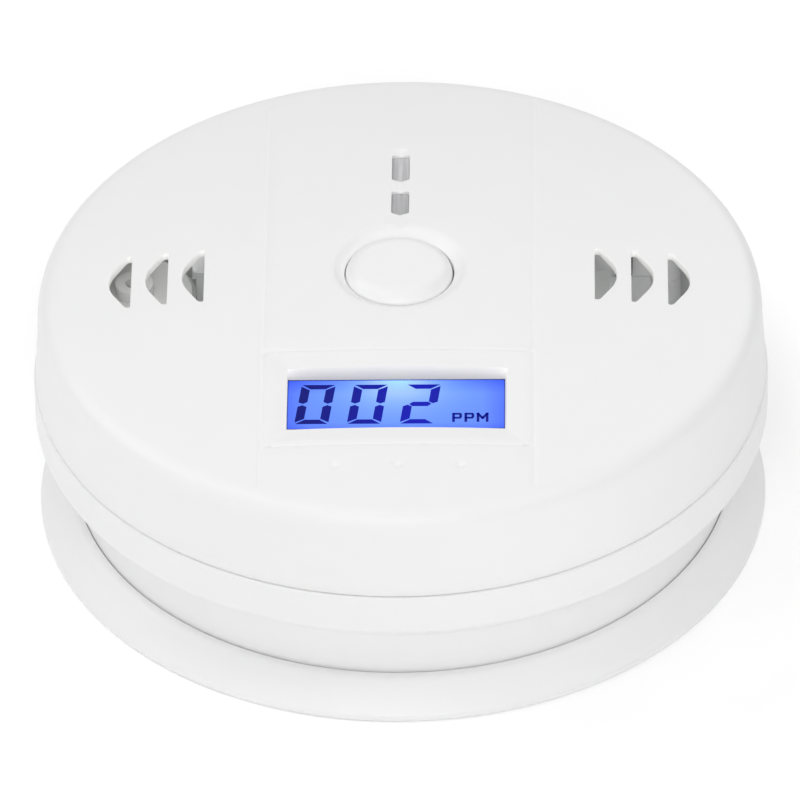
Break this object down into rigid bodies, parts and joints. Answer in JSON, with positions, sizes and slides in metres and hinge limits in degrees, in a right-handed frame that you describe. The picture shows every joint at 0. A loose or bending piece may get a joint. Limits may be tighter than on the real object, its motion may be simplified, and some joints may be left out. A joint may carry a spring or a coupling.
{
  "type": "carbon monoxide detector",
  "caption": "Round battery carbon monoxide alarm with a lit display, test button, gas vents and a twist-lock mounting plate.",
  "frame": {"origin": "centre of the mounting plate's flat back, where the detector lies on its wall, ceiling or table", "axes": "+Z out of the face, -Y towards the display and the reader, +X to the reader's right"},
  "size_m": [0.1, 0.1, 0.0382],
  "materials": {
    "shell_plastic": "smooth white ABS, satin",
    "button_plastic": "smooth white ABS, slightly glossier than the cover",
    "inner_plastic": "plain off-white plastic",
    "black_plastic": "black moulded plastic",
    "circuit_board": "green solder mask over glass-fibre board",
    "display_glass": "blue backlit liquid-crystal glass with dark blue segments",
    "light_guide": "frosted clear plastic",
    "contact_rubber": "soft striped contact rubber",
    "filter_felt": "thin white gas filter felt",
    "bright_metal": "bright nickel plate",
    "brass": "bare brass disc",
    "screw_steel": "zinc-plated steel",
    "battery_jacket": null,
    "red_led": "tinted clear epoxy",
    "green_led": "tinted clear epoxy",
    "red_wire": "red PVC insulation",
    "black_wire": "black PVC insulation",
    "foam": "black open-cell foam"
  },
  "bodies": {
    "mounting_plate": {"mounting_plate": "shell_plastic"},
    "detector": {"rear_housing": "shell_plastic", "front_cover": "shell_plastic", "switch_body": "black_plastic", "circuit_board": "circuit_board", "co_sensor": "bright_metal", "sensor_filter": "filter_felt", "microcontroller": "black_plastic", "capacitor": "black_plastic", "booster_coil": "black_plastic", "lcd_glass": "display_glass", "lcd_backlight": "light_guide", "lcd_contact_strip": "contact_rubber", "lcd_frame": "inner_plastic", "sounder_case": "inner_plastic", "piezo_disc": "brass", "sounder_base": "inner_plastic", "sounder_lead_1": "black_wire", "sounder_lead_2": "red_wire", "alarm_led": "red_led", "power_led": "green_led", "light_guide_upper": "light_guide", "light_guide_lower": "light_guide", "battery_1": "battery_jacket", "battery_2": "battery_jacket", "battery_3": "battery_jacket", "battery_spring_1": "bright_metal", "battery_spring_2": "bright_metal", "battery_spring_3": "bright_metal", "contact_negative": "bright_metal", "contact_bridge_right": "bright_metal", "contact_bridge_left": "bright_metal", "contact_positive": "bright_metal", "battery_lead_positive": "red_wire", "battery_lead_negative": "black_wire", "housing_screw_1": "screw_steel", "housing_screw_2": "screw_steel", "housing_screw_3": "screw_steel", "board_screw_1": "screw_steel", "board_screw_2": "screw_steel", "board_screw_3": "screw_steel", "board_screw_4": "screw_steel", "foam_pad": "foam"},
    "test_button": {"test_button": "button_plastic"},
    "switch_plunger": {"switch_plunger": "black_plastic"}
  },
  "joints": [
    {"name": "twist_lock", "type": "hinge", "parent": "mounting_plate", "child": "detector", "pos_m": [0, 0, 0], "axis": [0, 0, 1], "range_deg": [0, 15]},
    {"name": "button_press", "type": "slide", "parent": "detector", "child": "test_button", "axis": [0, 0, -1], "range_m": [0, 0.0006], "stiffness_N_per_m": 1500, "springref_m": -0.0004},
    {"name": "plunger_travel", "type": "slide", "parent": "detector", "child": "switch_plunger", "axis": [0, 0, -1], "range_m": [0, 0.0006]}
  ],
  "couplings": [
    {"joint": "plunger_travel", "follows": "button_press", "ratio": 1}
  ]
}
